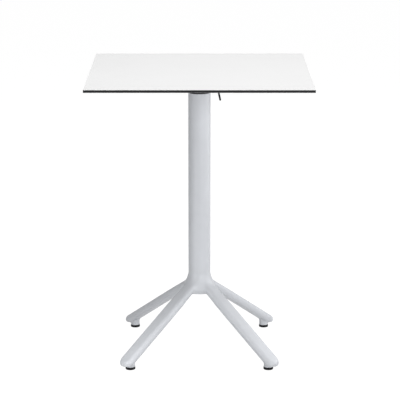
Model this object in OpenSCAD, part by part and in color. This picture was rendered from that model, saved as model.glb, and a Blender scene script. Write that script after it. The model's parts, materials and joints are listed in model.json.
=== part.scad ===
// Folding bar table: a square laminate top that tilts upright on a round column with a four-legged foot.
// Millimetres, +Z up, front of the table towards -Y, origin on the floor under the column's axis.

/* [Top] */
// Height of the table's upper surface above the floor
table_h = 1060; // [1000:5:1150]
// Width of the top, left to right
top_w = 800; // [690:10:900]
// Depth of the top, front to back
top_d = 800; // [690:10:900]
// Thickness of the black core of the laminate
core_t = 9; // [7:0.5:12]
// Thickness of each white face of the laminate
face_t = 0.5; // [0.3:0.1:1.5]
// Size of the small cut on each corner of the top
corner_cut = 1.5; // [0.5:0.5:10]

/* [Column] */
// Outer diameter of the column
column_d = 82; // [80:1:100]
// Wall of the column tube
column_wall = 3; // [2:0.5:5]
// Diameter of the rod that clamps the head, the column and the foot together
tie_d = 12; // [8:1:16]

/* [Foot] */
// Distance between the axes of neighbouring glides
foot_spacing = 504; // [420:4:620]
// Width of a leg
leg_w = 59; // [50:1:76]
// Thickness of a leg, square to its slope
leg_t = 31; // [26:1:40]
// Slope of the legs
leg_slope = 33.5; // [28:0.5:38]
// Radius of the bend where a leg's centreline leaves the hub
leg_bend_r = 80; // [60:1:90]
// How far the round end of a leg reaches past the glide's axis, beyond half of the leg's width
leg_overrun = 12; // [4:0.5:18]
// Height of the hub above the start of the legs' bends
hub_above = 6; // [3:1:40]
// Depth of the hub below the point where the legs' centrelines meet
hub_below = 62; // [54:1:90]
// Radius of the hub's rounded lower edge
hub_round = 14; // [4:1:18]
// Length of the hub's spigot inside the column
spigot_l = 30; // [15:1:60]

/* [Glides] */
// Diameter of a glide
glide_d = 36; // [30:1:44]
// Height of a glide
glide_h = 9.5; // [6:0.5:14]
// Diameter of the round boss above a glide
boss_d = 34; // [28:1:42]
// Height of the boss, from its face up to the leg's underside on its axis
boss_h = 13.5; // [12:0.5:30]
// Height of the level cut under a leg's end, above the boss's face
end_cut_h = 8; // [4:0.5:11]
// Diameter of the glide's threaded stud
stud_d = 8; // [6:1:12]
// Length of the stud above the glide
stud_l = 28; // [20:1:34]

/* [Tilt head] */
// Height from the column's rim to the underside of the top
mech_h = 70; // [66:1:90]
// Distance of the pivot in front of the column's axis
pivot_offset = 20; // [16:1:24]
// Depth of the pivot's axis below the underside of the top
pivot_drop = 36; // [35:0.5:40]
// Diameter of the pivot bolt
pivot_d = 10; // [8:1:12]
// Diameter of the barrel that carries the pivot
barrel_d = 36; // [32:1:40]
// Width of the barrel
head_w = 63; // [50:1:70]
// Height of the black collar on the column's rim
collar_h = 8; // [5:0.5:10]
// Length of the plug inside the column
plug_l = 40; // [20:1:80]
// Diameter of a rubber buffer
buffer_d = 10; // [8:0.5:12]
// Height that a rubber buffer stands proud of the head
buffer_h = 6; // [4:0.5:7]

/* [Tilt bracket] */
// Width of the bracket's plate, left to right
plate_w = 200; // [170:5:260]
// Depth of the bracket's plate, front to back
plate_d = 180; // [160:5:240]
// Thickness of the bracket's plate
plate_t = 4; // [3:0.5:6]
// Thickness of an ear of the bracket
ear_t = 4; // [3:0.5:6]
// Distance of the outer screws from the plate's edges
screw_inset = 15; // [10:1:25]
// Thread diameter of the bracket's screws
screw_d = 6; // [4:1:6]

/* [Latch] */
// Diameter of the release lever's rod
lever_d = 7; // [6:0.5:8]
// Distance of the lever's axis behind the column's axis
lever_y = 34; // [32:1:38]
// Depth of the lever's axis below the underside of the top
lever_drop = 26; // [22:1:28]
// Distance from the column's axis to the start of the lever's bend
lever_reach = 52; // [48:1:80]
// Radius of the lever's bend
lever_bend_r = 10; // [8:1:14]
// Lean of the lever's handle away from the column
lever_lean = 12; // [5:1:25]
// Depth of the lever's tip below the underside of the top
lever_tip_drop = 104; // [80:1:120]
// Thickness of the hook plate
hook_t = 6; // [4:0.5:8]
// Depth of the hook's nose under the catch pin
nose_t = 3.5; // [3:0.5:4]
// Diameter of the catch pin
catch_d = 6; // [5:0.5:6.5]
// Distance of the catch pin behind the column's axis
catch_y = 28; // [26:1:30]
// Height of the catch pin above the collar
catch_up = 13; // [12:0.5:15]
// Diameter of the return spring's wire
wire_d = 1.4; // [1:0.1:1.8]
// Number of turns of the return spring
spring_turns = 5; // [3:1:6]

/* [Fits] */
// Radial clearance of a shaft that turns or slides in its hole
run_fit = 0.05; // [0.02:0.01:0.1]
// Radial clearance of a piece that is fixed in its hole
seat_fit = 0.03; // [0.02:0.01:0.1]
// Gap between a piece and the stop that it rests on
rest_gap = 0.3; // [0.1:0.05:0.4]

/* [Hidden] */
$fn = 96;

// Colours
WHITE = [0.93, 0.93, 0.93];
SILVER = [0.78, 0.79, 0.81];
BLACK = [0.06, 0.06, 0.07];
STEEL = [0.68, 0.69, 0.70];
BRASS = [0.80, 0.65, 0.30];
NYLON = [0.90, 0.89, 0.84];

// Levels
under_z = table_h - core_t - 2 * face_t;
rim_z = under_z - mech_h;
collar_z = rim_z + collar_h;
plate_z = under_z - plate_t;

// Where two tangent shapes of one piece meet, one is this much thicker and reaches this far into the other
bend_swell = 0.04;
bend_overlap = 0.3;

// Legs: their centreline in a plane through the column's axis
foot_xy = foot_spacing / 2;
foot_r = foot_xy * sqrt(2);
boss_z = glide_h + rest_gap;
leg_foot_z = boss_z + boss_h + leg_t / 2 / cos(leg_slope);
root_z = leg_foot_z + foot_r * tan(leg_slope);
leg_turn = 90 - leg_slope;
leg_start_r = column_d / 2 - leg_t / 2 - leg_t / 6;
bend_end_r = leg_start_r + leg_bend_r * (1 - cos(leg_turn));
bend_end_z = root_z - bend_end_r * tan(leg_slope);
bend_z = bend_end_z + leg_bend_r * sin(leg_turn);
leg_end_r = foot_r + leg_overrun + (leg_w - leg_t) / 2 * (1 - cos(leg_slope));
leg_end_z = root_z - leg_end_r * tan(leg_slope);
leg_core = (leg_w - leg_t) / 2;
hub_z = root_z - hub_below;
hub_top_z = bend_z + hub_above;

// Tie rod, its washer, its nut and their recess under the hub
tie_recess_depth = 30;
tie_recess_d = 50;
tie_seat_z = hub_z + tie_recess_depth;
tie_washer_d = 3 * tie_d;
tie_washer_t = 3;
tie_nut_t = 0.8 * tie_d;
tie_nut_af = 1.58 * tie_d;
tie_engage = 2 * tie_d;
tie_end = 4;

// Glides
stud_head_d = 2 * stud_d;
stud_head_t = 3;
glide_skin = 3;
glide_chamfer = 1.2;

// Pivot
pivot_y = -pivot_offset;
pivot_z = under_z - pivot_drop;
bush_d = pivot_d + 4;
bush_l = 20;
flange_d = 22;
flange_t = 1.6;
ear_in = head_w / 2 + flange_t + rest_gap;
ear_out = ear_in + ear_t;
washer_t = 1.6;
washer_d = 2 * pivot_d;
bolt_head_t = 0.64 * pivot_d;
bolt_head_af = 1.6 * pivot_d;
pivot_nut_t = 0.8 * pivot_d;
ear_pivot_r = 13;
ear_lever_r = 9;
ear_top_front = 46;
ear_top_back = 50;

// Head: neck, shoulders, front lugs and the cheeks that hold the catch pin
neck_w = 48;
neck_front = 34;
neck_back = 18;
neck_top = 18;
collar_step = 0.3;
shoulder_front = 12;
shoulder_up = 4;
shoulder_z = plate_z - buffer_h - rest_gap;
cheek_in = hook_t / 2 + 2;
cheek_t = 9;
cheek_back = 36;
cheek_above = 6;
lug_x = 17;
lug_w = 14;
lug_root = 2;
lug_z = pivot_z - 12;
plate_face_y = pivot_y - (pivot_drop - plate_t);
lug_front = plate_face_y + rest_gap + buffer_h;
buffer_seat = 3;
buffer_x = 20;
buffer_y = 6;

// Latch
lever_z = under_z - lever_drop;
lever_tip_z = under_z - lever_tip_drop;
catch_z = collar_z + catch_up;
lever_bush_wall = 1.5;
lever_flange_d = lever_d + 7;
lever_flange_t = 1.2;
clip_t = 1;
clip_gap = 0.2;
clip_d = lever_d + 6;
groove_depth = 0.6;
lever_tail = 3;
hook_boss_r = 8;
hook_boss_l = 14;
roll_pin_d = 3;
tang_l = 4;
hook_face_y = catch_y + catch_d / 2 + rest_gap;
nose_top_z = catch_z - catch_d / 2 - rest_gap;
nose_reach = 8;
nose_bevel = 1;
heel_bevel = 3;
hook_back = 6.5;
roll_pin_gap = 0.5;
roll_pin_x = hook_boss_l - hook_t / 2 - tang_l - roll_pin_gap - roll_pin_d / 2;

// Return spring round the lever
spring_r = lever_d / 2 + wire_d / 2 + 1;
spring_pitch = wire_d + 1;
spring_x = hook_boss_l - hook_t / 2 + 2;
TANG_STEPS = 3;
CURL_STEPS = 8;
WIRE_SIDES = 6;

// Screws and inserts of the bracket
screw_x = plate_w / 2 - screw_inset;
screw_y = plate_d / 2 - screw_inset;
SCREW_PLACES = [
    [-screw_x, -screw_y], [screw_x, -screw_y], [-screw_x, screw_y], [screw_x, screw_y],
    [0, -screw_y], [0, screw_y]
];
insert_d = screw_d + 3;
insert_l = core_t - 0.5;
screw_head_d = 2 * screw_d;
screw_head_t = 0.58 * screw_d;
screw_bite = insert_l - 1;

// Small helpers
module at_feet(x_side, y_side) translate([x_side * foot_xy, y_side * foot_xy, 0]) children();
module along_x(y, z) translate([0, y, z]) rotate([0, 90, 0]) children();
module hexagon_prism(af, h) cylinder(d = af / cos(30), h = h, $fn = 6);
module ring(outer_d, inner_d, h) {
    difference() {
        cylinder(d = outer_d, h = h);
        translate([0, 0, -1]) cylinder(d = inner_d, h = h + 2);
    }
}

// A closed solid through a list of rings that all have the same number of points
module skin(rings) {
    n = len(rings[0]);
    last = len(rings) - 1;
    points = [for (one = rings) each one];
    sides = [
        for (k = [0:last - 1], i = [0:n - 1]) each [
            [k * n + i, (k + 1) * n + i, k * n + (i + 1) % n],
            [k * n + (i + 1) % n, (k + 1) * n + i, (k + 1) * n + (i + 1) % n]
        ]
    ];
    start_cap = [for (i = [1:n - 2]) [0, i, i + 1]];
    end_cap = [for (i = [1:n - 2]) [last * n, last * n + i + 1, last * n + i]];
    polyhedron(points = points, faces = concat(start_cap, sides, end_cap), convexity = 6);
}

// The top: a black core between two white faces
module panel_outline() {
    x = top_w / 2;
    y = top_d / 2;
    c = corner_cut;
    polygon([[-x + c, -y], [x - c, -y], [x, -y + c], [x, y - c],
             [x - c, y], [-x + c, y], [-x, y - c], [-x, -y + c]]);
}

module laminate_top_face() {
    color(WHITE) translate([0, 0, table_h - face_t]) linear_extrude(face_t) panel_outline();
}

module laminate_core() {
    color(BLACK) difference() {
        translate([0, 0, under_z + face_t]) linear_extrude(core_t) panel_outline();
        for (p = SCREW_PLACES)
            translate([p[0], p[1], under_z]) cylinder(d = insert_d + 2 * seat_fit, h = insert_l + seat_fit);
    }
}

module laminate_bottom_face() {
    color(WHITE) difference() {
        translate([0, 0, under_z]) linear_extrude(face_t) panel_outline();
        for (p = SCREW_PLACES)
            translate([p[0], p[1], under_z - 1]) cylinder(d = insert_d + 2 * seat_fit, h = face_t + 2);
    }
}

module panel_inserts() {
    color(BRASS) for (p = SCREW_PLACES)
        translate([p[0], p[1], under_z]) ring(insert_d, screw_d + 2 * seat_fit, insert_l);
}

// The bracket under the top and its screws
module bracket_screws() {
    color(STEEL) for (p = SCREW_PLACES) translate([p[0], p[1], plate_z]) difference() {
        union() {
            cylinder(d = screw_d, h = plate_t + screw_bite);
            translate([0, 0, -screw_head_t]) cylinder(d = screw_head_d, h = screw_head_t);
        }
        translate([0, 0, -screw_head_t - 1]) hexagon_prism(0.5 * screw_d, 1 + 0.6 * screw_head_t);
    }
}

module ear_outline() {
    hull() {
        translate([pivot_y, pivot_z]) circle(r = ear_pivot_r, $fn = 32);
        translate([lever_y, lever_z]) circle(r = ear_lever_r, $fn = 32);
        translate([-ear_top_front, plate_z - 2]) square([ear_top_front + ear_top_back, 2 + plate_t / 2]);
    }
}

module tilt_bracket() {
    color(BLACK) difference() {
        union() {
            translate([-plate_w / 2, -plate_d / 2, plate_z]) cube([plate_w, plate_d, plate_t]);
            for (x = [-ear_out, ear_in])
                translate([x, 0, 0]) rotate([90, 0, 90]) linear_extrude(ear_t) ear_outline();
        }
        for (p = SCREW_PLACES)
            translate([p[0], p[1], plate_z - 1]) cylinder(d = screw_d + 1, h = plate_t + 2);
        translate([-ear_out - 1, 0, 0]) along_x(pivot_y, pivot_z)
            cylinder(d = pivot_d + 2 * seat_fit, h = 2 * ear_out + 2);
        translate([-ear_out - 1, 0, 0]) along_x(lever_y, lever_z)
            cylinder(d = lever_d + 2 * lever_bush_wall + 2 * seat_fit, h = 2 * ear_out + 2);
    }
}

// The pivot
module pivot_bolt() {
    shank = 2 * (ear_out + washer_t) + pivot_nut_t + 2;
    color(STEEL) translate([-ear_out - washer_t, 0, 0]) along_x(pivot_y, pivot_z) {
        cylinder(d = pivot_d, h = shank);
        translate([0, 0, -bolt_head_t]) hexagon_prism(bolt_head_af, bolt_head_t);
    }
}

module pivot_washers() {
    color(STEEL) for (x = [-ear_out - washer_t, ear_out])
        translate([x, 0, 0]) along_x(pivot_y, pivot_z) ring(washer_d, pivot_d + 2 * seat_fit, washer_t);
}

module pivot_nut() {
    color(STEEL) translate([ear_out + washer_t, 0, 0]) along_x(pivot_y, pivot_z) difference() {
        hexagon_prism(bolt_head_af, pivot_nut_t);
        translate([0, 0, -1]) cylinder(d = pivot_d + 2 * seat_fit, h = pivot_nut_t + 2);
    }
}

module pivot_bushes() {
    color(NYLON) for (side = [-1, 1]) translate([0, pivot_y, pivot_z]) rotate([0, side * 90, 0]) {
        difference() {
            union() {
                translate([0, 0, head_w / 2 - bush_l]) cylinder(d = bush_d, h = bush_l + flange_t);
                translate([0, 0, head_w / 2]) cylinder(d = flange_d, h = flange_t);
            }
            translate([0, 0, head_w / 2 - bush_l - 1])
                cylinder(d = pivot_d + 2 * run_fit, h = bush_l + flange_t + 2);
        }
    }
}

// The head in the top of the column
module tilt_head() {
    color(BLACK) difference() {
        union() {
            translate([0, 0, rim_z - plug_l])
                cylinder(d = column_d - 2 * column_wall - 2 * seat_fit, h = plug_l + collar_h / 2);
            translate([0, 0, rim_z]) cylinder(d = column_d - 2 * collar_step, h = collar_h);
            translate([-neck_w / 2, -neck_front, collar_z - 1])
                cube([neck_w, neck_front + neck_back, neck_top + 1]);
            translate([-head_w / 2, -shoulder_front, collar_z + shoulder_up])
                cube([head_w, shoulder_front + neck_back, shoulder_z - collar_z - shoulder_up]);
            translate([-head_w / 2, 0, 0]) along_x(pivot_y, pivot_z) cylinder(d = barrel_d, h = head_w);
            for (side = [-1, 1]) {
                translate([side * lug_x - lug_w / 2, lug_front, lug_z - lug_w / 2])
                    cube([lug_w, -lug_front - neck_front + lug_root, lug_w]);
                translate([side * (cheek_in + cheek_t / 2) - cheek_t / 2, 0, collar_z - 1])
                    cube([cheek_t, cheek_back, 1 + catch_up + cheek_above]);
            }
        }
        translate([-head_w / 2 - 1, 0, 0]) along_x(pivot_y, pivot_z)
            cylinder(d = bush_d + 2 * seat_fit, h = head_w + 2);
        translate([-cheek_in - cheek_t - 1, 0, 0]) along_x(catch_y, catch_z)
            cylinder(d = catch_d + 2 * seat_fit, h = 2 * (cheek_in + cheek_t) + 2);
        for (side = [-1, 1]) {
            translate([side * buffer_x, buffer_y, shoulder_z - buffer_seat])
                cylinder(d = buffer_d + 2 * seat_fit, h = buffer_seat + 1);
            translate([side * lug_x, lug_front + buffer_seat, lug_z]) rotate([90, 0, 0])
                cylinder(d = buffer_d + 2 * seat_fit, h = buffer_seat + 1);
        }
        translate([0, 0, rim_z - plug_l - 1]) cylinder(d = tie_d + 2 * seat_fit, h = tie_engage + 3);
    }
}

module level_buffers() {
    color(BLACK) for (side = [-1, 1])
        translate([side * buffer_x, buffer_y, shoulder_z - buffer_seat])
            cylinder(d = buffer_d, h = buffer_seat + buffer_h);
}

module upright_buffers() {
    color(BLACK) for (side = [-1, 1])
        translate([side * lug_x, lug_front + buffer_seat, lug_z]) rotate([90, 0, 0])
            cylinder(d = buffer_d, h = buffer_seat + buffer_h);
}

module catch_pin() {
    color(STEEL) translate([-cheek_in - cheek_t, 0, 0]) along_x(catch_y, catch_z)
        cylinder(d = catch_d, h = 2 * (cheek_in + cheek_t));
}

// The release lever: one bent rod, its hook, clips, bushes and spring
module release_lever() {
    handle_x = lever_reach + lever_bend_r * cos(lever_lean);
    handle_z = lever_z - lever_bend_r * (1 - sin(lever_lean));
    handle_l = (handle_z - lever_tip_z) / cos(lever_lean);
    clip_x = ear_out + lever_flange_t + clip_gap;
    tail_x = clip_x + clip_t + lever_tail;
    color(BLACK) difference() {
        union() {
            translate([-tail_x, 0, 0]) along_x(lever_y, lever_z)
                cylinder(d = lever_d, h = tail_x + lever_reach + bend_overlap);
            translate([lever_reach, lever_y, lever_z - lever_bend_r]) rotate([90, 0, 0])
                rotate([0, 0, lever_lean]) rotate_extrude(angle = 90 - lever_lean)
                    translate([lever_bend_r, 0]) circle(d = lever_d + bend_swell);
            translate([handle_x, lever_y, handle_z]) rotate([0, 180 - lever_lean, 0]) {
                translate([0, 0, -bend_overlap]) cylinder(d = lever_d, h = handle_l + bend_overlap);
                translate([0, 0, handle_l]) sphere(d = lever_d - bend_swell);
            }
        }
        for (x = [-clip_x - clip_t, clip_x]) translate([x, 0, 0]) along_x(lever_y, lever_z)
            ring(lever_d + 2, lever_d - 2 * groove_depth, clip_t);
        along_x(lever_y, lever_z) translate([0, 0, roll_pin_x]) rotate([0, 90, 0])
            cylinder(d = roll_pin_d + 2 * seat_fit, h = lever_d + 2, center = true);
    }
}

module hook_outline() {
    nose_front = hook_face_y - nose_reach;
    hook_rear = hook_face_y + hook_back;
    nose_low_z = nose_top_z - nose_t;
    translate([lever_y, lever_z]) circle(r = hook_boss_r);
    polygon([
        [hook_face_y, lever_z], [hook_face_y, nose_top_z], [nose_front, nose_top_z],
        [nose_front + nose_bevel, nose_low_z], [hook_rear - heel_bevel, nose_low_z],
        [hook_rear, nose_top_z], [lever_y + hook_boss_r - 1, lever_z]
    ]);
}

module latch_hook() {
    boss_x = hook_boss_l - hook_t / 2;
    color(STEEL) difference() {
        union() {
            translate([-hook_t / 2, 0, 0]) rotate([90, 0, 90]) linear_extrude(hook_t) hook_outline();
            along_x(lever_y, lever_z) cylinder(r = hook_boss_r, h = boss_x);
        }
        translate([-hook_t / 2 - 1, 0, 0]) along_x(lever_y, lever_z)
            cylinder(d = lever_d + 2 * seat_fit, h = hook_boss_l + 2);
        along_x(lever_y, lever_z) translate([0, 0, roll_pin_x]) rotate([0, 90, 0])
            cylinder(d = roll_pin_d + 2 * seat_fit, h = 2 * hook_boss_r + 2, center = true);
        translate([boss_x - tang_l, lever_y, lever_z + spring_r]) rotate([0, 90, 0])
            cylinder(d = wire_d + 0.4, h = tang_l + 1);
    }
}

module hook_roll_pin() {
    color(STEEL) along_x(lever_y, lever_z) translate([0, 0, roll_pin_x])
        rotate([0, 90, 0]) difference() {
            cylinder(d = roll_pin_d, h = 2 * hook_boss_r - 1, center = true);
            cylinder(d = roll_pin_d / 2, h = 2 * hook_boss_r + 1, center = true);
        }
}

module lever_bushes() {
    color(NYLON) for (side = [-1, 1]) translate([0, lever_y, lever_z]) rotate([0, side * 90, 0])
        difference() {
            union() {
                translate([0, 0, ear_in]) cylinder(d = lever_d + 2 * lever_bush_wall, h = ear_t + lever_flange_t);
                translate([0, 0, ear_out]) cylinder(d = lever_flange_d, h = lever_flange_t);
            }
            translate([0, 0, ear_in - 1]) cylinder(d = lever_d + 2 * run_fit, h = ear_t + lever_flange_t + 2);
        }
}

module lever_clips() {
    clip_x = ear_out + lever_flange_t + clip_gap;
    color(STEEL) for (x = [-clip_x - clip_t, clip_x]) translate([x, 0, 0]) along_x(lever_y, lever_z)
        translate([0, 0, 0.05]) difference() {
            ring(clip_d, lever_d - 2 * groove_depth + 2 * seat_fit, clip_t - 0.1);
            translate([0, -1.2, -1]) cube([clip_d, 2.4, clip_t + 2]);
        }
}

// The spring's centreline: a tang in the hook's boss, the turns, and a leg up to the bracket's plate.
// Each entry is a point, the wire's direction there and the direction away from the lever's axis.
function spring_turn(a) = [
    [spring_x + spring_pitch * a / 360, lever_y + spring_r * sin(a), lever_z + spring_r * cos(a)],
    [spring_pitch / (2 * PI * spring_r), cos(a), -sin(a)],
    [0, sin(a), cos(a)]
];
spring_last = 360 * spring_turns + 270;
spring_leg_l = plate_z - rest_gap - lever_z;
spring_line = concat(
    [for (k = [0:TANG_STEPS - 1]) [
        [spring_x - 1 - tang_l * (1 - k / (TANG_STEPS - 1)), lever_y, lever_z + spring_r], [1, 0, 0], [0, 0, 1]
    ]],
    [for (a = [360 / CURL_STEPS:360 / CURL_STEPS:spring_last]) spring_turn(a)],
    [let (end = spring_turn(spring_last)) [end[0] + [0, 0, spring_leg_l], [0, 0, 1], end[2]]]
);
function unit(v) = v / norm(v);
function wire_ring(at) =
    let (t = unit(at[1]), out = unit(at[2] - (at[2] * t) * t), side = cross(t, out))
    [for (i = [0:WIRE_SIDES - 1]) at[0] + wire_d / 2
        * (cos(360 * i / WIRE_SIDES) * out + sin(360 * i / WIRE_SIDES) * side)];

module return_spring() {
    color(STEEL) skin([for (at = spring_line) wire_ring(at)]);
}

// The least gap between neighbouring turns of the spring, measured on the points of its centreline
spring_gap = min([
    for (a = [0:CURL_STEPS:360]) norm(spring_turn(a + 360)[0] - spring_turn(a)[0]) - wire_d
]);
echo(spring_least_gap_to_itself = spring_gap);

// The column and what clamps it
module column_tube() {
    color(SILVER) translate([0, 0, hub_top_z]) ring(column_d, column_d - 2 * column_wall, rim_z - hub_top_z);
}

module tie_rod() {
    low = tie_seat_z - tie_washer_t - tie_nut_t - tie_end;
    color(STEEL) translate([0, 0, low]) cylinder(d = tie_d, h = rim_z - plug_l + tie_engage - low);
}

module tie_washer() {
    color(STEEL) translate([0, 0, tie_seat_z - tie_washer_t])
        ring(tie_washer_d, tie_d + 2 * seat_fit, tie_washer_t);
}

module tie_nut() {
    color(STEEL) translate([0, 0, tie_seat_z - tie_washer_t - tie_nut_t]) difference() {
        hexagon_prism(tie_nut_af, tie_nut_t);
        translate([0, 0, -1]) cylinder(d = tie_d + 2 * seat_fit, h = tie_nut_t + 2);
    }
}

// A leg: a bar of flattened oval section that leaves the hub in a bend and ends in a round tip, cut level below
module leg_section(swell) {
    square([leg_t + swell, 2 * leg_core], center = true);
    for (side = [-1, 1]) translate([0, side * leg_core]) circle(d = leg_t + swell);
}

module leg() {
    straight_l = (leg_end_r - bend_end_r) / cos(leg_slope);
    difference() {
        union() {
            translate([leg_start_r + leg_bend_r, 0, bend_z]) rotate([90, 0, 0]) rotate([0, 0, 180])
                rotate_extrude(angle = leg_turn) translate([leg_bend_r, 0]) leg_section(bend_swell);
            translate([bend_end_r, 0, bend_end_z]) rotate([0, 90 + leg_slope, 0])
                translate([0, 0, -bend_overlap]) linear_extrude(straight_l + bend_overlap) leg_section(0);
            translate([leg_end_r, 0, leg_end_z]) rotate([0, leg_slope, 0]) rotate_extrude() intersection() {
                rotate([0, 0, 90]) leg_section(bend_swell);
                translate([0, -leg_w / 2]) square([leg_w, leg_w]);
            }
        }
        translate([foot_r - leg_w, -leg_w, boss_z + end_cut_h - leg_w]) cube([3 * leg_w, 2 * leg_w, leg_w]);
    }
}

module base_casting() {
    round_steps = 6;
    rounded_edge = [
        for (k = [0:round_steps])
            let (a = 90 * k / round_steps)
            [column_d / 2 - hub_round * (1 - sin(a)), hub_z + hub_round * (1 - cos(a))]
    ];
    color(SILVER) difference() {
        union() {
            rotate_extrude() polygon(concat([[0, hub_z]], rounded_edge, [
                [column_d / 2, hub_top_z],
                [column_d / 2 - column_wall - seat_fit, hub_top_z],
                [column_d / 2 - column_wall - seat_fit, hub_top_z + spigot_l],
                [0, hub_top_z + spigot_l]
            ]));
            for (a = [45:90:315]) rotate([0, 0, a]) leg();
            for (x = [-1, 1], y = [-1, 1]) at_feet(x, y)
                translate([0, 0, boss_z]) cylinder(d = boss_d, h = leg_foot_z - boss_z);
        }
        translate([0, 0, hub_z - 1]) cylinder(d = tie_recess_d, h = tie_seat_z - hub_z + 1);
        translate([0, 0, hub_z]) cylinder(d = tie_d + 1, h = hub_top_z - hub_z + spigot_l + 1);
        for (x = [-1, 1], y = [-1, 1]) at_feet(x, y)
            translate([0, 0, boss_z - 1]) cylinder(d = stud_d + 2 * run_fit, h = stud_l + 3);
    }
}

module glide_pad() {
    r = glide_d / 2;
    color(BLACK) difference() {
        rotate_extrude() polygon([
            [0, 0], [r - glide_chamfer, 0], [r, glide_chamfer],
            [r, glide_h - glide_chamfer], [r - glide_chamfer, glide_h], [0, glide_h]
        ]);
        translate([0, 0, glide_skin]) cylinder(d = stud_head_d + 2 * seat_fit, h = stud_head_t);
        translate([0, 0, glide_skin]) cylinder(d = stud_d + 2 * seat_fit, h = glide_h);
    }
}

module glide_stud() {
    color(STEEL) translate([0, 0, glide_skin]) {
        cylinder(d = stud_head_d, h = stud_head_t - seat_fit);
        cylinder(d = stud_d, h = glide_h - glide_skin + stud_l);
    }
}

laminate_top_face();
laminate_core();
laminate_bottom_face();
panel_inserts();
bracket_screws();
tilt_bracket();
pivot_bolt();
pivot_washers();
pivot_nut();
tilt_head();
pivot_bushes();
level_buffers();
upright_buffers();
catch_pin();
release_lever();
latch_hook();
hook_roll_pin();
lever_bushes();
lever_clips();
return_spring();
column_tube();
tie_rod();
tie_washer();
tie_nut();
base_casting();
at_feet(-1, -1) glide_pad();  // glide_pad_front_left
at_feet(1, -1) glide_pad();  // glide_pad_front_right
at_feet(-1, 1) glide_pad();  // glide_pad_back_left
at_feet(1, 1) glide_pad();  // glide_pad_back_right
at_feet(-1, -1) glide_stud();  // glide_stud_front_left
at_feet(1, -1) glide_stud();  // glide_stud_front_right
at_feet(-1, 1) glide_stud();  // glide_stud_back_left
at_feet(1, 1) glide_stud();  // glide_stud_back_right
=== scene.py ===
"""Finished pieces, materials, light and camera for the folding bar table."""

import json
import math

import bmesh
import bpy
from bpy.props import FloatProperty, FloatVectorProperty, IntProperty, PointerProperty
from mathutils import Matrix, Vector


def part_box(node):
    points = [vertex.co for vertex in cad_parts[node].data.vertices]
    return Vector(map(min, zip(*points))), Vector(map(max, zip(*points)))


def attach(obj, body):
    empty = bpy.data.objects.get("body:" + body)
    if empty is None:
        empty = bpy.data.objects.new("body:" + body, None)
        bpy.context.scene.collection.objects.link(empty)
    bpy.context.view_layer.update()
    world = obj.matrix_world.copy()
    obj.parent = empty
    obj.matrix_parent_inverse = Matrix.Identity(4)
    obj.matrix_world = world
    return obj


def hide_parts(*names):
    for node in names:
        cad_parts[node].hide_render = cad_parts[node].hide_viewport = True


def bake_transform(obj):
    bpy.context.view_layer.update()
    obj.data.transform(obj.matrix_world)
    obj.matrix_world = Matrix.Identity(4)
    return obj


bl_info = {
    "name": "Folding Bar Table",
    "version": (1, 0, 0),
    "blender": (4, 5, 0),
    "location": "View3D > Sidebar > Bar Table",
    "description": "Builds the visible pieces of a folding bar table round its packed solids",
    "category": "Object",
}

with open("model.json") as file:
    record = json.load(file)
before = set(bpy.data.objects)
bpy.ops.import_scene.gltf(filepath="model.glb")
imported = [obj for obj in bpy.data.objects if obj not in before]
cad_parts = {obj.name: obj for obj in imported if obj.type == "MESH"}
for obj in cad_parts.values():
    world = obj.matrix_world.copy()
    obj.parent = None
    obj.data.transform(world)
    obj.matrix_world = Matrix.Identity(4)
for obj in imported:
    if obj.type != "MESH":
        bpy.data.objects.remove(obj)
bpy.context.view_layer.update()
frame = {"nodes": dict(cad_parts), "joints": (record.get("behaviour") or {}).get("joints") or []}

MM = 0.001
QUARTER = math.radians(90)
SMOOTH = math.radians(38)  # faces that meet at less than this are shaded as one surface
CORNER = math.radians(40)  # edges whose faces meet at more than this are rounded
STUD_R = 4.0  # radius of a glide's stud, in millimetres
GAP = 0.05  # left between the foot and what sits in it or on it, in millimetres
FEET = ("front_left", "front_right", "back_left", "back_right")

tube_low, tube_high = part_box("column_tube")
pad_low, pad_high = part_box("glide_pad_front_right")
stud_low, stud_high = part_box("glide_stud_front_right")


def pivot(name):
    """The point that a joint turns about."""
    return next(Vector(joint["pos_m"]) for joint in frame["joints"] if joint["name"] == name)


# Settings


def length(name, text, millimetres, least=0.1, most=1000.0):
    """A length setting, given in millimetres."""
    return FloatProperty(
        name=name, description=text, default=millimetres * MM, min=least * MM, max=most * MM, unit="LENGTH"
    )


def colour(name, text, value):
    """A colour setting."""
    return FloatVectorProperty(
        name=name, description=text, default=value, size=3, min=0.0, max=1.0, subtype="COLOR"
    )


class TopSettings(bpy.types.PropertyGroup):
    rim_chamfer: length("Rim chamfer", "Cut along the rim of each white face", 0.25, 0.1, 0.4)
    corner_round: length("Corner round", "Radius of the panel's four corners", 1.5, 0.5, 10)
    face_colour: colour("Faces", "Colour of the laminate's two faces", (0.77, 0.77, 0.77))
    core_colour: colour("Core", "Colour of the laminate's core at its cut edge", (0.009, 0.009, 0.010))


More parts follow.
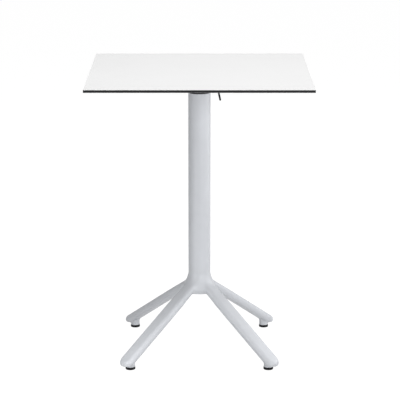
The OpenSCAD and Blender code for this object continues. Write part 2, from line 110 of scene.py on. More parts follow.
class StandSettings(bpy.types.PropertyGroup):
    wall: length("Wall", "Thickness of the column's wall", 3, 1, 6)
    rim_round: length("Rim round", "Round on the column's upper rim", 0.8, 0.1, 1.4)
    leg_width: length("Leg width", "Width of a leg across its length", 59, 40, 80)
    leg_thickness: length("Leg thickness", "Thickness of a leg, square to its slope", 31, 20, 45)
    leg_slope: FloatProperty(
        name="Leg slope", description="Slope of the legs", default=math.radians(33.5), unit="ROTATION"
    )
    leg_overrun: length(
        "Leg overrun", "How far a leg's round end is centred past the glide's axis", 12, 0, 20
    )
    end_cut: length(
        "End cut", "Height of the level cut under a leg's end, above its boss's face", 8, 4, 12
    )
    boss_width: length("Boss", "Diameter of the boss over a glide", 34, 28, 42)
    bend_radius: length("Bend radius", "Radius of a leg's bend out of the hub", 80, 40, 100)
    hub_depth: length("Hub depth", "Depth of the hub below the point where the legs meet", 61, 40, 90)
    hub_round: length("Hub round", "Radius of the hub's lower edge", 22, 4, 24)
    web: length("Web", "How far the web between the legs reaches past the column", 16, 1, 30)
    mesh_size: length("Mesh size", "Size of the casting's faces", 2.6, 1.5, 8)
    blend_steps: IntProperty(
        name="Blend steps", description="Smoothing steps where the legs leave the hub", default=30, min=0
    )
    paint_colour: colour("Paint", "Colour of the column's and the foot's coating", (0.56, 0.575, 0.605))


class LatchSettings(bpy.types.PropertyGroup):
    rod_diameter: length("Rod", "Diameter of the lever's rod", 7, 5, 10)
    reach: length("Reach", "Distance from the column's axis to the lever's bend", 52, 45, 80)
    bend_radius: length("Bend radius", "Radius of the lever's bend", 10, 8, 14)
    lean: FloatProperty(
        name="Lean", description="Lean of the handle away from the column", default=math.radians(12),
        unit="ROTATION",
    )
    groove: length("Groove", "Depth of the grooves that the clips sit in", 0.6, 0.2, 1)
    wire: length("Wire", "Diameter of the return spring's wire", 1.4, 0.8, 2)
    spring_turns: FloatProperty(
        name="Turns", description="Turns of the return spring", default=5.75, min=1
    )
    paint_colour: colour("Paint", "Colour of the bracket, the head and the lever", (0.006, 0.006, 0.009))


class StageSettings(bpy.types.PropertyGroup):
    camera_distance: length(
        "Distance", "Distance of the camera from the point it looks at", 6500, 1000, 20000
    )
    camera_pitch: FloatProperty(
        name="Pitch", description="How far the camera looks down", default=math.radians(13.8),
        unit="ROTATION",
    )
    camera_height: length("Height", "Height of the point that the camera looks at", 573.6, 0, 2000)
    camera_side: length(
        "Side", "How far the camera stands to the right of the table's middle", 2.2, -500, 500
    )
    camera_lens: FloatProperty(
        name="Lens", description="Focal length in millimetres", default=157.3, unit="CAMERA", min=10
    )
    surroundings: FloatProperty(
        name="Surroundings", description="Strength of the light from all round", default=0.15, min=0.0
    )
    floor_colour: colour("Floor", "Colour of the floor", (0.86, 0.86, 0.86))
    floor_glow: FloatProperty(
        name="Floor glow", description="Brightness the camera sees on the floor", default=1.17, min=0.0
    )
    floor_share: FloatProperty(
        name="Glow share", description="Share of that brightness, the rest is the lit floor", default=0.83,
        min=0.0, max=1.0, subtype="FACTOR",
    )


class BarTableSettings(bpy.types.PropertyGroup):
    top: PointerProperty(type=TopSettings, name="Top", description="The laminate top")
    stand: PointerProperty(type=StandSettings, name="Stand", description="The column and the foot")
    latch: PointerProperty(type=LatchSettings, name="Latch", description="The lever and its spring")
    stage: PointerProperty(type=StageSettings, name="Stage", description="Floor, light and camera")


# Effects that several finishes share


def node_group(name, inputs, outputs):
    """A new shader node group with its input and output nodes."""
    group = bpy.data.node_groups.new(name, "ShaderNodeTree")
    for label, kind, value in inputs:
        socket = group.interface.new_socket(label, in_out="INPUT", socket_type="NodeSocket" + kind)
        if value is not None:
            socket.default_value = value
    for label, kind in outputs:
        group.interface.new_socket(label, in_out="OUTPUT", socket_type="NodeSocket" + kind)
    return group, group.nodes.new("NodeGroupInput"), group.nodes.new("NodeGroupOutput")


def mottle_group():
    """Slow changes of shade and gloss with a fine grain on top."""
    group, given, out = node_group(
        "Mottle and grain",
        [
            ("Coordinates", "Vector", None),
            ("Mottle Scale", "Float", 8.0),
            ("Grain Scale", "Float", 900.0),
            ("Shade A", "Color", (0.5, 0.5, 0.5, 1)),
            ("Shade B", "Color", (0.6, 0.6, 0.6, 1)),
            ("Roughness A", "Float", 0.4),
            ("Roughness B", "Float", 0.5),
        ],
        [("Colour", "Color"), ("Roughness", "Float"), ("Height", "Float")],
    )
    nodes, links = group.nodes, group.links
    grain_share = 0.35
    slow = nodes.new("ShaderNodeTexNoise")
    slow.inputs["Detail"].default_value = 4
    fine = nodes.new("ShaderNodeTexNoise")
    fine.inputs["Detail"].default_value = 2
    for noise, scale in ((slow, "Mottle Scale"), (fine, "Grain Scale")):
        links.new(given.outputs["Coordinates"], noise.inputs["Vector"])
        links.new(given.outputs[scale], noise.inputs["Scale"])
    both = nodes.new("ShaderNodeMath")
    both.operation = "MULTIPLY_ADD"
    both.inputs[1].default_value = grain_share
    links.new(fine.outputs["Fac"], both.inputs[0])
    links.new(slow.outputs["Fac"], both.inputs[2])
    spread = nodes.new("ShaderNodeMapRange")
    spread.inputs["From Min"].default_value = 0.25 + grain_share / 2
    spread.inputs["From Max"].default_value = 0.75 + grain_share / 2
    links.new(both.outputs[0], spread.inputs["Value"])
    shade = nodes.new("ShaderNodeMix")
    shade.data_type = "RGBA"
    gloss = nodes.new("ShaderNodeMapRange")
    links.new(spread.outputs["Result"], shade.inputs["Factor"])
    links.new(given.outputs["Shade A"], shade.inputs["A"])
    links.new(given.outputs["Shade B"], shade.inputs["B"])
    links.new(slow.outputs["Fac"], gloss.inputs["Value"])
    links.new(given.outputs["Roughness A"], gloss.inputs["To Min"])
    links.new(given.outputs["Roughness B"], gloss.inputs["To Max"])
    links.new(shade.outputs["Result"], out.inputs["Colour"])
    links.new(gloss.outputs["Result"], out.inputs["Roughness"])
    links.new(fine.outputs["Fac"], out.inputs["Height"])
    return group


def scuff_group():
    """A mask of sparse, thin handling marks."""
    group, given, out = node_group(
        "Scuffs",
        [("Coordinates", "Vector", None), ("Scale", "Float", 60.0), ("Amount", "Float", 0.1)],
        [("Mask", "Float")],
    )
    nodes, links = group.nodes, group.links
    stretch = nodes.new("ShaderNodeMapping")
    stretch.inputs["Rotation"].default_value = (0.5, 0.3, 0.9)
    stretch.inputs["Scale"].default_value = (1.0, 9.0, 2.0)
    marks = nodes.new("ShaderNodeTexNoise")
    marks.inputs["Detail"].default_value = 3
    where = nodes.new("ShaderNodeMapRange")
    where.inputs["From Min"].default_value = 0.64
    where.inputs["From Max"].default_value = 0.72
    links.new(given.outputs["Coordinates"], stretch.inputs["Vector"])
    links.new(stretch.outputs["Vector"], marks.inputs["Vector"])
    links.new(given.outputs["Scale"], marks.inputs["Scale"])
    links.new(marks.outputs["Fac"], where.inputs["Value"])
    links.new(given.outputs["Amount"], where.inputs["To Max"])
    links.new(where.outputs["Result"], out.inputs["Mask"])
    return group


def thread_group():
    """The ridges of a fine screw thread along Z, as a height."""
    group, given, out = node_group(
        "Thread ridges",
        [("Coordinates", "Vector", None), ("Pitch", "Float", 1.25 * MM)],
        [("Height", "Float")],
    )
    nodes, links = group.nodes, group.links
    along = nodes.new("ShaderNodeSeparateXYZ")
    turns = nodes.new("ShaderNodeMath")
    turns.operation = "DIVIDE"
    ridge = nodes.new("ShaderNodeMath")
    ridge.operation = "PINGPONG"
    ridge.inputs[1].default_value = 0.5
    links.new(given.outputs["Coordinates"], along.inputs["Vector"])
    links.new(along.outputs["Z"], turns.inputs[0])
    links.new(given.outputs["Pitch"], turns.inputs[1])
    links.new(turns.outputs[0], ridge.inputs[0])
    links.new(ridge.outputs[0], out.inputs["Height"])
    return group


# Finishes


def shaded(rgb, amount):
    """The colour made lighter or darker by a share."""
    return (*[max(0.0, min(1.0, c * (1 + amount))) for c in rgb], 1)


def finish(name, rgb, vary, roughness, mottle, bump, relief, grain=900.0, metallic=0.0,
           stretch=(1, 1, 1), scuffs=0.0, thread=False, shine=0.5):
    """A material with mottled shade and gloss, a fine grain and, where asked, scuffs or a thread."""
    if name in bpy.data.materials:
        return bpy.data.materials[name]
    material = bpy.data.materials.new(name)
    material.use_nodes = True
    nodes, links = material.node_tree.nodes, material.node_tree.links
    surface = nodes["Principled BSDF"]
    surface.inputs["Metallic"].default_value = metallic
    surface.inputs["Specular IOR Level"].default_value = shine
    place = nodes.new("ShaderNodeTexCoord")
    turn = nodes.new("ShaderNodeMapping")
    turn.inputs["Scale"].default_value = stretch
    links.new(place.outputs["Object"], turn.inputs["Vector"])
    grains = nodes.new("ShaderNodeGroup")
    grains.node_tree = bpy.data.node_groups.get("Mottle and grain") or mottle_group()
    grains.inputs["Mottle Scale"].default_value = mottle
    grains.inputs["Grain Scale"].default_value = grain
    grains.inputs["Shade A"].default_value = shaded(rgb, -vary)
    grains.inputs["Shade B"].default_value = shaded(rgb, vary)
    grains.inputs["Roughness A"].default_value = roughness[0]
    grains.inputs["Roughness B"].default_value = roughness[1]
    links.new(turn.outputs["Vector"], grains.inputs["Coordinates"])
    links.new(grains.outputs["Roughness"], surface.inputs["Roughness"])
    painted = grains.outputs["Colour"]
    if scuffs:
        marks = nodes.new("ShaderNodeGroup")
        marks.node_tree = bpy.data.node_groups.get("Scuffs") or scuff_group()
        marks.inputs["Amount"].default_value = scuffs
        links.new(place.outputs["Object"], marks.inputs["Coordinates"])
        worn = nodes.new("ShaderNodeMix")
        worn.data_type = "RGBA"
        worn.inputs["B"].default_value = (0.45, 0.45, 0.46, 1)
        links.new(marks.outputs["Mask"], worn.inputs["Factor"])
        links.new(painted, worn.inputs["A"])
        painted = worn.outputs["Result"]
    links.new(painted, surface.inputs["Base Color"])
    height = nodes.new("ShaderNodeBump")
    height.inputs["Strength"].default_value = bump
    height.inputs["Distance"].default_value = relief * MM
    if thread:
        ridges = nodes.new("ShaderNodeGroup")
        ridges.node_tree = bpy.data.node_groups.get("Thread ridges") or thread_group()
        links.new(place.outputs["Object"], ridges.inputs["Coordinates"])
        links.new(ridges.outputs["Height"], height.inputs["Height"])
    else:
        links.new(grains.outputs["Height"], height.inputs["Height"])
    links.new(height.outputs["Normal"], surface.inputs["Normal"])
    return material


def white_laminate():
    rgb = bpy.context.scene.bar_table.top.face_colour
    return finish("white_laminate", rgb, 0.014, (0.48, 0.6), mottle=5, grain=1000, bump=0.25, relief=0.03)


def black_core():
    rgb = bpy.context.scene.bar_table.top.core_colour
    return finish("black_core", rgb, 0.35, (0.5, 0.7), mottle=60, grain=1000, bump=0.4, relief=0.05,
                  stretch=(1, 1, 14), shine=0.2)


def silver_coating():
    rgb = bpy.context.scene.bar_table.stand.paint_colour
    return finish("silver_coating", rgb, 0.035, (0.44, 0.56), mottle=14, grain=900, bump=0.45, relief=0.06,
                  metallic=0.1)


def black_coating():
    rgb = bpy.context.scene.bar_table.latch.paint_colour
    return finish("black_coating", rgb, 0.2, (0.38, 0.55), mottle=25, grain=1600, bump=0.3, relief=0.06,
                  shine=0.12)


ZINC = (0.60, 0.61, 0.62)


def zinc_plate():
    return finish("zinc_plate", ZINC, 0.1, (0.28, 0.42), mottle=140, grain=2500, bump=0.15, relief=0.02,
                  metallic=1.0, scuffs=0.25)


def zinc_thread():
    return finish("zinc_thread", ZINC, 0.1, (0.3, 0.45), mottle=140, bump=0.9, relief=0.5, metallic=1.0,
                  thread=True)


def spring_steel():
    return finish("spring_steel", (0.34, 0.34, 0.36), 0.15, (0.25, 0.4), mottle=200, grain=3000, bump=0.1,
                  relief=0.02, metallic=1.0)


def turned_brass():
    return finish("turned_brass", (0.72, 0.52, 0.22), 0.12, (0.25, 0.4), mottle=160, grain=2500, bump=0.15,
                  relief=0.02, metallic=1.0)


def white_nylon():
    return finish("white_nylon", (0.80, 0.79, 0.74), 0.03, (0.4, 0.55), mottle=120, grain=2200, bump=0.15,
                  relief=0.03)


def black_rubber():
    return finish("black_rubber", (0.018, 0.018, 0.018), 0.3, (0.7, 0.85), mottle=90, grain=2200, bump=0.5,
                  relief=0.08)


def black_plastic():
    return finish("black_plastic", (0.006, 0.006, 0.007), 0.3, (0.45, 0.6), mottle=110, grain=1800,
                  bump=0.4, relief=0.06, scuffs=0.04, shine=0.15)


# Making pieces


def mesh_of(bm, name):
    """Turns a bmesh into a mesh, with faces shaded smooth up to the sharp edges."""
    bmesh.ops.recalc_face_normals(bm, faces=bm.faces)
    for edge in bm.edges:
        edge.smooth = edge.calc_face_angle(0) < SMOOTH
    for face in bm.faces:
        face.smooth = True
    mesh = bpy.data.meshes.new(name)
    bm.to_mesh(mesh)
    bm.free()
    return mesh


def object_of(bm, name):
    """Puts a bmesh into the scene as an object."""
    made = bpy.data.objects.new(name, mesh_of(bm, name))
    bpy.context.scene.collection.objects.link(made)
    return made


def add_piece(bm, name, body, material, stands_for, even=True):
    """Puts a finished piece into the scene, riding on its body."""
    piece = object_of(bm, name)
    piece.data.materials.append(material)
    if even:
        piece.modifiers.new("Even shading", "WEIGHTED_NORMAL").keep_sharp = True
    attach(piece, body)
    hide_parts(*stands_for)


def outer_edges(bm):
    """The edges that are sharp enough to be rounded."""
    return [edge for edge in bm.edges if edge.calc_face_angle(0) > CORNER]


def round_edges(bm, edges, width, segments):
    """Rounds edges over a width, in metres."""
    bmesh.ops.bevel(
        bm, geom=edges, offset=width, offset_type="OFFSET", segments=segments, profile=0.5,
        affect="EDGES", clamp_overlap=True, material=-1,
    )


def softened(node, width, segments):
    """A merged copy of a CAD node with its edges rounded."""
    bm = bmesh.new()
    bm.from_mesh(frame["nodes"][node].data)
    bmesh.ops.remove_doubles(bm, verts=bm.verts, dist=0.002 * MM)
    bmesh.ops.dissolve_limit(
        bm, angle_limit=math.radians(0.5), verts=bm.verts, edges=bm.edges, delimit=set()
    )
    round_edges(bm, outer_edges(bm), width, segments)
    return bm


def turned(profile, steps=72, closed=False):
    """Spins a profile of (radius, height) points, in millimetres, round the Z axis."""
    bm = bmesh.new()
    verts = [bm.verts.new((r * MM, 0, z * MM)) for r, z in profile]
    pairs = list(zip(verts, verts[1:])) + ([(verts[-1], verts[0])] if closed else [])
    edges = [bm.edges.new(pair) for pair in pairs]
    bmesh.ops.spin(
        bm, geom=verts + edges, cent=(0, 0, 0), axis=(0, 0, 1), angle=2 * math.pi, steps=steps,
        use_merge=True, use_duplicate=False,
    )
    bmesh.ops.remove_doubles(bm, verts=bm.verts, dist=0.001 * MM)
    return bm


def add_to(bm, other, place):
    """Moves another bmesh to its place, adds it and frees it."""
    bmesh.ops.transform(other, matrix=place, verts=other.verts)
    mesh = bpy.data.meshes.new("added")
    other.to_mesh(mesh)
    other.free()
    bm.from_mesh(mesh)
    bpy.data.meshes.remove(mesh)


def split(made):
    """The vertices and the edges among what a mesh operator made."""
    verts = [g for g in made if isinstance(g, bmesh.types.BMVert)]
    edges = [g for g in made if isinstance(g, bmesh.types.BMEdge)]
    return verts, edges


def carry_on(bm, edges):
    """Extrudes a ring of edges and returns the new ring's vertices and edges."""
    return split(bmesh.ops.extrude_edge_only(bm, edges=edges)["geom"])


def bend(bm, ring, centre, axis, angle, steps):
    """Carries a ring round a bend and returns the last ring's vertices and edges."""
    return split(bmesh.ops.spin(
        bm, geom=ring, cent=centre, axis=axis, angle=angle, steps=steps, use_duplicate=False,
        use_merge=False,
    )["geom_last"])


def cut_level(bm, height, up):
    """Cuts away what lies above (up 1) or below (up -1) a level plane, and closes the cut."""
    cut = bmesh.ops.bisect_plane(
        bm, geom=bm.verts[:] + bm.edges[:] + bm.faces[:], plane_co=(0, 0, height), plane_no=(0, 0, up),
        clear_outer=True,
    )["geom_cut"]
    bmesh.ops.holes_fill(bm, edges=split(cut)[1], sides=0)


def evaluated(piece):
    """A bmesh of an object with its modifiers applied."""
    shown = piece.evaluated_get(bpy.context.evaluated_depsgraph_get())
    bm = bmesh.new()
    bm.from_mesh(shown.to_mesh())
    shown.to_mesh_clear()
    return bm


def worked(bm, name, kind, **settings):
    """Runs one modifier over a bmesh."""
    piece = object_of(bm, name)
    modifier = piece.modifiers.new(kind.title(), kind)
    for key, value in settings.items():
        setattr(modifier, key, value)
    bm = evaluated(piece)
    bpy.data.objects.remove(piece)
    return bm


# Build steps, one for each piece or group of like pieces


class BARTABLE_OT_top(bpy.types.Operator):
    """Build the square laminate top: a black core between two white faces"""

    bl_idname = "bar_table.top"
    bl_label = "Laminate Top"

    def execute(self, context):
        sizes = context.scene.bar_table.top
        layers = (
            ("top_upper_face", "laminate_top_face", white_laminate(), "laminate_white", 1),
            ("top_core", "laminate_core", black_core(), "laminate_black", 0),
            ("top_lower_face", "laminate_bottom_face", white_laminate(), "laminate_white", -1),
        )
        for name, node, material, slot, outside in layers:
            low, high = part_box(node)
            place = Matrix.Translation((low + high) / 2) @ Matrix.Diagonal((*(high - low), 1))
            bm = bmesh.new()
            bmesh.ops.create_cube(bm, size=1, matrix=place)
            upright = [e for e in bm.edges if abs(e.verts[0].co.z - e.verts[1].co.z) > 0.1 * MM]
            round_edges(bm, upright, sizes.corner_round, 4)
            if outside:
                level = high.z if outside > 0 else low.z
                rim = [e for e in bm.edges if all(abs(v.co.z - level) < 0.01 * MM for v in e.verts)]
                round_edges(bm, rim, sizes.rim_chamfer, 2)
            add_piece(bm, name, "top", material, [node])
        return {"FINISHED"}


class BARTABLE_OT_column(bpy.types.Operator):
    """Build the round column tube"""

    bl_idname = "bar_table.column"
    bl_label = "Column"

    def execute(self, context):
        sizes = context.scene.bar_table.stand
        outer, low, high = tube_high.x / MM, tube_low.z / MM, tube_high.z / MM
        inner = outer - sizes.wall / MM
        bm = turned([(outer, low), (outer, high), (inner, high), (inner, low)], 128, closed=True)
        middle = 0.5 * (tube_low.z + tube_high.z)
        rim = [e for e in outer_edges(bm) if e.verts[0].co.z > middle]
        round_edges(bm, rim, sizes.rim_round, 3)
        add_piece(bm, "column", "stand", silver_coating(), ["column_tube"])
        return {"FINISHED"}


class BARTABLE_OT_foot(bpy.types.Operator):
    """Build the foot: a hub that grows into four bent legs with a boss under each end"""

    bl_idname = "bar_table.foot"
    bl_label = "Foot"

    def hub(self, sizes, column_r, hub_top, hub_low):
        """The hub: a neck, a flare down to the web, a round lower edge and a flat underside."""
        r, low, high = column_r / MM, hub_low / MM, hub_top / MM
        web, edge = sizes.web / MM, sizes.hub_round / MM
        neck_top, flare_top, flare_end = high + 12, high - 10, low + 20
        fall = flare_top - flare_end
        shares = [k / 12 for k in range(1, 13)]
        flare = [(r + web * (1 - math.cos(math.pi * s)) / 2, flare_top - fall * s) for s in shares]
        turns = [math.radians(15 * k) for k in range(5, -1, -1)]
        lip = [(r + web - edge * (1 - math.sin(a)), low + edge * (1 - math.cos(a))) for a in turns]
        return turned([(0, neck_top), (r, neck_top), (r, flare_top)] + flare + lip + [(0, low)], 96)

    def leg(self, sizes, start, bend_end, tip, cut_z):
        """One leg in the XZ plane: its bend, its straight part and its round tip, cut level below."""
        half_t = sizes.leg_thickness / 2
        core = sizes.leg_width / 2 - half_t
        bm = bmesh.new()
        ring = bmesh.ops.create_circle(bm, cap_ends=True, segments=32, radius=half_t)["verts"]
        for side in (-1, 1):
            half = [v for v in ring if v.co.y * side > 0.001 * MM]
            bmesh.ops.translate(bm, verts=half, vec=(0, side * core, 0))
        bmesh.ops.translate(bm, verts=ring, vec=(start[0], 0, start[1]))
        ring = bm.verts[:] + bm.edges[:]
        centre = (start[0] + sizes.bend_radius, 0, start[1])
        edges = bend(bm, ring, centre, (0, -1, 0), QUARTER - sizes.leg_slope, 10)[1]
        verts, edges = carry_on(bm, edges)
        bmesh.ops.translate(bm, verts=verts, vec=(tip[0] - bend_end[0], 0, tip[1] - bend_end[1]))
        bmesh.ops.holes_fill(bm, edges=edges, sides=0)
        rim = [math.radians(15 * k) for k in range(-6, 7)]
        profile = [((core + half_t * math.cos(a)) / MM, half_t * math.sin(a) / MM) for a in rim]
        end = turned([(0, -half_t / MM)] + profile + [(0, half_t / MM)], 48)
        slope = Matrix.Rotation(sizes.leg_slope, 4, "Y")
        add_to(bm, end, Matrix.Translation((tip[0], 0, tip[1])) @ slope)
        cut_level(bm, cut_z, -1)
        return bm

    def blend(self, bm, sizes, column_r, hub_top, hub_low):
        """Smooths the casting, most near the hub, and keeps the neck as wide as the column."""
        steps = sizes.blend_steps
        lowest, highest = 14 * MM, hub_top + 6 * MM
        # how far from the middle each round reaches, in metres, and how often it smooths
        zones = ((0.075, steps), (0.105, steps), (0.14, steps // 3), (1.0, 6))
        for reach, times in zones:
            near = [
                v for v in bm.verts if math.hypot(v.co.x, v.co.y) < reach and lowest < v.co.z < highest
            ]
            for _ in range(times):
                bmesh.ops.smooth_vert(
                    bm, verts=near, factor=0.5, use_axis_x=True, use_axis_y=True, use_axis_z=True
                )
        neck_z, rim_z = hub_low + 45 * MM, hub_top - 2 * MM
        for v in bm.verts:
            r = math.hypot(v.co.x, v.co.y)
            sunk = v.co.z > neck_z and 0.8 * column_r < r < column_r
            if sunk or v.co.z > rim_z:
                v.co.x *= column_r / r
                v.co.y *= column_r / r

    def holes(self, foot_r, corners):
        """What the casting is cut with: the recess under the hub and the bores of the four studs."""
        recess_r, recess_top = 25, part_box("tie_washer")[1].z / MM
        bore_r, past = (STUD_R + GAP) * MM, 0.5 * MM
        bm = turned([(0, 0), (recess_r, 0), (recess_r, recess_top), (0, recess_top)], 64)
        for corner in corners:
            bore = bmesh.new()
            bmesh.ops.create_cone(
                bore, cap_ends=True, segments=32, radius1=bore_r, radius2=bore_r,
                depth=stud_high.z + 2 * past,
            )
            add_to(bm, bore, corner @ Matrix.Translation((foot_r, 0, stud_high.z / 2)))
        return bm

    def execute(self, context):
        sizes = context.scene.bar_table.stand
        half_t, slope, bend_r = sizes.leg_thickness / 2, sizes.leg_slope, sizes.bend_radius
        core = sizes.leg_width / 2 - half_t
        column_r, hub_top, boss_z = tube_high.x, tube_low.z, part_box("base_casting")[0].z
        turn = QUARTER - slope
        start = (column_r - half_t - half_t / 3, hub_top - 6 * MM)
        bend_end = (start[0] + bend_r * (1 - math.cos(turn)), start[1] - bend_r * math.sin(turn))
        meeting_z = bend_end[1] + bend_end[0] * math.tan(slope)
        foot_r = math.hypot(stud_low.x + stud_high.x, stud_low.y + stud_high.y) / 2
        tip_r = foot_r + sizes.leg_overrun + core * (1 - math.cos(slope))
        tip = (tip_r, meeting_z - tip_r * math.tan(slope))
        hub_low = meeting_z - sizes.hub_depth
        boss_r, boss_top = sizes.boss_width / 2, meeting_z - foot_r * math.tan(slope)
        boss_low = boss_z - 6 * MM  # cut back to the boss's face after the smoothing
        corners = [Matrix.Rotation(math.radians(45 + 90 * k), 4, "Z") for k in range(4)]

        bm = self.hub(sizes, column_r, hub_top, hub_low)
        for corner in corners:
            add_to(bm, self.leg(sizes, start, bend_end, tip, boss_z + sizes.end_cut), corner)
            boss = bmesh.new()
            bmesh.ops.create_cone(
                boss, cap_ends=True, segments=48, radius1=boss_r, radius2=boss_r,
                depth=boss_top - boss_low,
            )
            add_to(bm, boss, corner @ Matrix.Translation((foot_r, 0, (boss_low + boss_top) / 2)))
        bm = worked(bm, "foot_blank", "REMESH", mode="VOXEL", voxel_size=sizes.mesh_size)
        self.blend(bm, sizes, column_r, hub_top, hub_low)
        cut_level(bm, boss_z, -1)
        cut_level(bm, hub_top - GAP * MM, 1)
        cutter = object_of(self.holes(foot_r, corners), "foot_holes")
        bm = worked(bm, "foot_cut", "BOOLEAN", operation="DIFFERENCE", solver="EXACT", object=cutter)
        bpy.data.objects.remove(cutter)
        add_piece(bm, "foot", "stand", silver_coating(), ["base_casting"], even=False)
        return {"FINISHED"}


class BARTABLE_OT_glides(bpy.types.Operator):
    """Build the four height-adjustable glides"""

    bl_idname = "bar_table.glides"
    bl_label = "Glides"

    def execute(self, context):
        r, h = (pad_high.x - pad_low.x) / 2 / MM, pad_high.z / MM
        for foot in FEET:
            low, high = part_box("glide_stud_" + foot)
            top, body = high.z / MM, "glide_" + foot
            centre = Matrix.Translation(((low.x + high.x) / 2, (low.y + high.y) / 2, 0))
            pad = turned([
                (0, 0.6), (r - 7, 0.6), (r - 6, 0), (r - 2, 0), (r - 0.9, 0.3), (r - 0.2, 1.1),
                (r, 2.0), (r, h - 2.4), (r - 0.3, h - 1.4), (r - 1.1, h - 0.6), (r - 2.4, h - 0.25),
                (r - 8, h), (0, h),
            ])
            bmesh.ops.transform(pad, matrix=centre, verts=pad.verts)
            add_piece(pad, body, body, black_plastic(), ["glide_pad_" + foot])
            stud = turned(
                [(0, h - 2), (STUD_R, h - 2), (STUD_R, top - 1), (STUD_R - 1, top), (0, top)], 32
            )
            bmesh.ops.transform(stud, matrix=centre, verts=stud.verts)
            add_piece(stud, "stud_" + foot, body, zinc_thread(), ["glide_stud_" + foot])
        return {"FINISHED"}


class BARTABLE_OT_fittings(bpy.types.Operator):
    """Build the tilting head, its bracket, the latch's hook and all their fasteners"""

    bl_idname = "bar_table.fittings"
    bl_label = "Tilt Fittings"

    def execute(self, context):
        rounded = (
            ("head", "tilt_head", "stand", black_coating(), "black_paint", 0.8, 3),
            ("bracket", "tilt_bracket", "top", black_coating(), "black_paint", 0.5, 2),
            ("hook", "latch_hook", "lever", zinc_plate(), "zinc_steel", 0.3, 2),
            ("bolt", "pivot_bolt", "top", zinc_plate(), "zinc_steel", 0.5, 2),
            ("bolt_washers", "pivot_washers", "top", zinc_plate(), "zinc_steel", 0.25, 2),
            ("bolt_nut", "pivot_nut", "top", zinc_plate(), "zinc_steel", 0.5, 2),
            ("screws", "bracket_screws", "top", zinc_plate(), "zinc_steel", 0.3, 2),
            ("latch_pin", "catch_pin", "stand", zinc_plate(), "zinc_steel", 0.4, 2),
            ("clips", "lever_clips", "lever", spring_steel(), "spring_steel", 0.12, 1),
            ("rod_washer", "tie_washer", "stand", zinc_plate(), "zinc_steel", 0.3, 2),
            ("rod_nut", "tie_nut", "stand", zinc_plate(), "zinc_steel", 0.5, 2),
        )
        for name, node, body, material, slot, width, segments in rounded:
            add_piece(softened(node, width * MM, segments), name, body, material, [node])
        kept = (
            ("panel_inserts", turned_brass()),
            ("pivot_bushes", white_nylon()),
            ("lever_bushes", white_nylon()),
            ("hook_roll_pin", spring_steel()),
            ("tie_rod", zinc_thread()),
        )
        for node, material in kept:
            frame["nodes"][node].data.materials.clear()
            frame["nodes"][node].data.materials.append(material)
        return {"FINISHED"}


class BARTABLE_OT_buffers(bpy.types.Operator):
    """Build the rubber buffers that the bracket rests on, level and upright"""

    bl_idname = "bar_table.buffers"
    bl_label = "Buffers"

    def execute(self, context):
        kinds = (("buffers_level", "level_buffers", True), ("buffers_upright", "upright_buffers", False))
        for name, node, facing_up in kinds:
            low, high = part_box(node)
            middle, size = (low + high) / 2, high - low
            if facing_up:
                across, deep = size.y, size.z / MM
                place = Matrix.Translation((0, middle.y, low.z))
            else:
                across, deep = size.z, size.y / MM
                place = Matrix.Translation((0, high.y, middle.z)) @ Matrix.Rotation(QUARTER, 4, "X")
            r = across / 2 / MM
            bm = bmesh.new()
            for x in (low.x + across / 2, high.x - across / 2):
                one = turned([
                    (0, 0), (r, 0), (r, deep - 1.6), (r - 0.4, deep - 0.7), (r - 1.2, deep - 0.15),
                    (r - 2, deep), (r - 3, deep - 0.1), (r - 3.6, deep - 0.6), (0, deep - 0.7),
                ], 40)
                add_to(bm, one, Matrix.Translation((x, 0, 0)) @ place)
            add_piece(bm, name, "stand", black_rubber(), [node])
        return {"FINISHED"}


class BARTABLE_OT_lever(bpy.types.Operator):
    """Build the release lever, one bent rod"""

    bl_idname = "bar_table.lever"
    bl_label = "Release Lever"

    def execute(self, context):
        sizes = context.scene.bar_table.latch
        axis = pivot("lever_release")
        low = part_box("release_lever")[0]
        r, chamfer, clip = sizes.rod_diameter / 2, 0.6 * MM, 1 * MM
        clip_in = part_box("lever_clips")[1].x - clip
        waist = r - sizes.groove
        bm = bmesh.new()
        verts = bmesh.ops.create_circle(
            bm, cap_ends=True, segments=28, radius=r - chamfer,
            matrix=Matrix.Translation((low.x, axis.y, axis.z)) @ Matrix.Rotation(QUARTER, 4, "Y"),
        )["verts"]
        edges = bm.edges[:]
        centre_line = Matrix.Translation((0, -axis.y, -axis.z))
        steps = [(low.x + chamfer, r)]
        for near, far in ((-clip_in - clip, -clip_in), (clip_in, clip_in + clip)):
            steps += [(near, r), (near, waist), (far, waist), (far, r)]
        steps.append((sizes.reach, r))
        at, radius = low.x, r - chamfer
        for x, wide in steps:
            verts, edges = carry_on(bm, edges)
            bmesh.ops.translate(bm, verts=verts, vec=(x - at, 0, 0))
            bmesh.ops.scale(bm, verts=verts, vec=(1, wide / radius, wide / radius), space=centre_line)
            at, radius = x, wide
        centre = (sizes.reach, axis.y, axis.z - sizes.bend_radius)
        verts, edges = bend(bm, verts + edges, centre, (0, 1, 0), QUARTER - sizes.lean, 14)
        down = Vector((math.sin(sizes.lean), 0, -math.cos(sizes.lean)))
        begin = sum((v.co for v in verts), Vector()) / len(verts)
        straight = (begin.z - low.z - r) / math.cos(sizes.lean)
        turns = [math.radians(15 * k) for k in range(1, 6)]
        dome = [(straight + r * math.sin(a), r * math.cos(a)) for a in turns]
        done, wide = 0.0, r
        for ahead, radius in [(straight, r)] + dome:
            verts, edges = carry_on(bm, edges)
            bmesh.ops.translate(bm, verts=verts, vec=down * (ahead - done))
            middle = begin + down * ahead
            bmesh.ops.scale(bm, verts=verts, vec=(radius / wide,) * 3, space=Matrix.Translation(-middle))
            done, wide = ahead, radius
        bmesh.ops.holes_fill(bm, edges=edges, sides=0)
        add_piece(bm, "lever", "lever", black_coating(), ["release_lever"])
        return {"FINISHED"}


